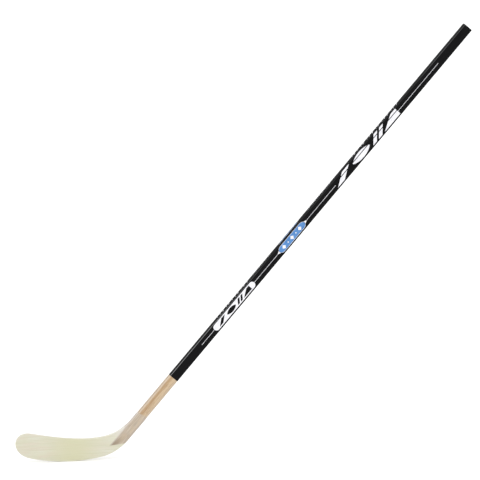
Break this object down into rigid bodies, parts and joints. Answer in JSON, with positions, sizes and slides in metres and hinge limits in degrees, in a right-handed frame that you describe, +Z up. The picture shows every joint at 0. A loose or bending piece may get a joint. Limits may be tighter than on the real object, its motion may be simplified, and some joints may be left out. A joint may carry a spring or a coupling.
{
  "type": "ice hockey stick",
  "caption": "Laminated wooden ice hockey stick: a straight black shaft slotted over the tongue of a curved wooden blade wrapped in glass fibre.",
  "frame": {"origin": "middle of the lowest facet of the blade's bottom edge, where the blade meets the ice", "axes": "+X from the toe to the heel and butt end, +Z up from the ice, -Y out of the forehand face; the stick's plane is XZ and the shaft rises at 49.15 degrees"},
  "size_m": [1.3005, 0.0263, 1.2084],
  "materials": {
    "aspen": "satin",
    "birch": "satin",
    "ash": "matt",
    "glass_facing": "clear satin laminate",
    "glass_cloth": "resin-filled cloth",
    "glass_sock": "satin, translucent, lengthwise fibres",
    "black_lacquer": "semi-gloss",
    "white_print": "printed film",
    "blue_print": "printed film"
  },
  "bodies": {
    "root": {"shaft_core_ply_1": "aspen", "shaft_core_ply_2": "aspen", "shaft_core_ply_3": "aspen", "shaft_core_ply_4": "aspen", "shaft_core_ply_5": "aspen", "shaft_birch_ply_front": "birch", "shaft_birch_ply_back": "birch", "shaft_glass_facing_front": "glass_facing", "shaft_glass_facing_back": "glass_facing", "black_lacquer_coat": "black_lacquer", "blade_plank_bottom_strip": "ash", "blade_plank_middle_strip": "ash", "blade_plank_top_strip": "ash", "blade_glass_cloth_front": "glass_cloth", "blade_glass_cloth_back": "glass_cloth", "blade_glass_sock": "glass_sock"}
  },
  "joints": []
}
